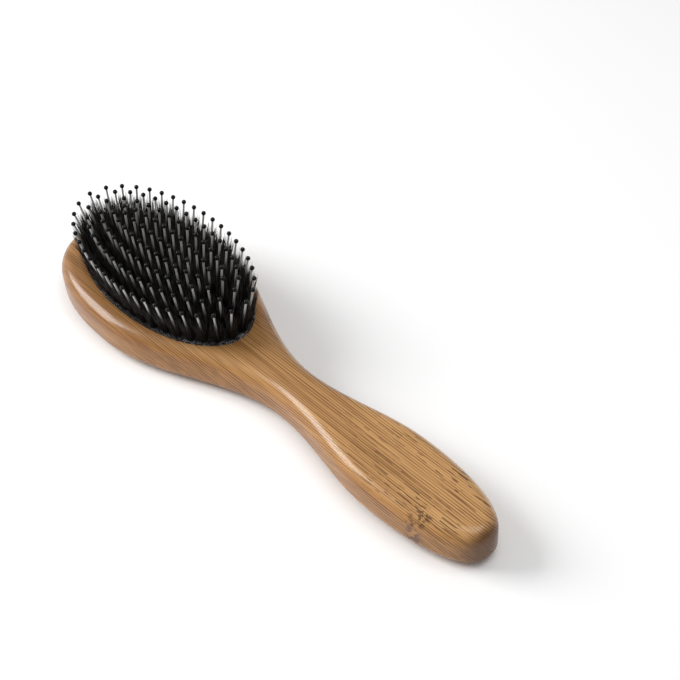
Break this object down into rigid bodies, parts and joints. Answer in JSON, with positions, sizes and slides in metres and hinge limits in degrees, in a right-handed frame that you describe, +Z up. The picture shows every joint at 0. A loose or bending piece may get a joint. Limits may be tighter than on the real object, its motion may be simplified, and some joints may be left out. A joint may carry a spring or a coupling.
{
  "type": "oval cushion beard brush",
  "caption": "Oval bamboo beard brush with a domed rubber cushion, ball-tipped pins and boar bristle tufts; the rows of pins sink as the cushion gives.",
  "frame": {"origin": "middle of the brush's length and width, on the flat back that it lies on", "axes": "+X from the head to the grip, +Y across the head, +Z up out of the cushion along the pins"},
  "size_m": [0.22, 0.0604, 0.039],
  "materials": {
    "bamboo": "satin lacquer over laminated bamboo",
    "cushion_rubber": "matt with a fine knurled texture",
    "pin_nylon": "smooth silver-grey nylon",
    "ball_resin": "glossy black",
    "boar_bristle": "natural black-brown bristle",
    "anchor_plastic": "plain moulded"
  },
  "bodies": {
    "brush_body": {"bamboo_body": "bamboo", "rubber_cushion": "cushion_rubber"},
    "rim_row": {"rim_row_pins": "pin_nylon", "rim_row_tips": "ball_resin", "rim_row_bristles": "boar_bristle", "rim_row_anchors": "anchor_plastic"},
    "outer_row": {"outer_row_pins": "pin_nylon", "outer_row_tips": "ball_resin", "outer_row_bristles": "boar_bristle", "outer_row_anchors": "anchor_plastic"},
    "middle_row": {"middle_row_pins": "pin_nylon", "middle_row_tips": "ball_resin", "middle_row_bristles": "boar_bristle", "middle_row_anchors": "anchor_plastic"},
    "inner_row": {"inner_row_pins": "pin_nylon", "inner_row_tips": "ball_resin", "inner_row_bristles": "boar_bristle", "inner_row_anchors": "anchor_plastic"},
    "centre_row": {"centre_row_pins": "pin_nylon", "centre_row_tips": "ball_resin", "centre_row_bristles": "boar_bristle", "centre_row_anchors": "anchor_plastic"}
  },
  "joints": [
    {"name": "centre_row_sink", "type": "slide", "parent": "brush_body", "child": "centre_row", "axis": [0, 0, -1], "range_m": [0, 0.0045], "stiffness_N_per_m": 300, "deforming": ["rubber_cushion"]},
    {"name": "inner_row_sink", "type": "slide", "parent": "brush_body", "child": "inner_row", "axis": [0, 0, -1], "range_m": [0, 0.00428], "stiffness_N_per_m": 150},
    {"name": "middle_row_sink", "type": "slide", "parent": "brush_body", "child": "middle_row", "axis": [0, 0, -1], "range_m": [0, 0.00361], "stiffness_N_per_m": 150},
    {"name": "outer_row_sink", "type": "slide", "parent": "brush_body", "child": "outer_row", "axis": [0, 0, -1], "range_m": [0, 0.0025], "stiffness_N_per_m": 150},
    {"name": "rim_row_sink", "type": "slide", "parent": "brush_body", "child": "rim_row", "axis": [0, 0, -1], "range_m": [0, 0.00094], "stiffness_N_per_m": 150}
  ],
  "couplings": [
    {"joint": "inner_row_sink", "follows": "centre_row_sink", "ratio": 0.9505},
    {"joint": "middle_row_sink", "follows": "centre_row_sink", "ratio": 0.8019},
    {"joint": "outer_row_sink", "follows": "centre_row_sink", "ratio": 0.5543},
    {"joint": "rim_row_sink", "follows": "centre_row_sink", "ratio": 0.2077}
  ]
}
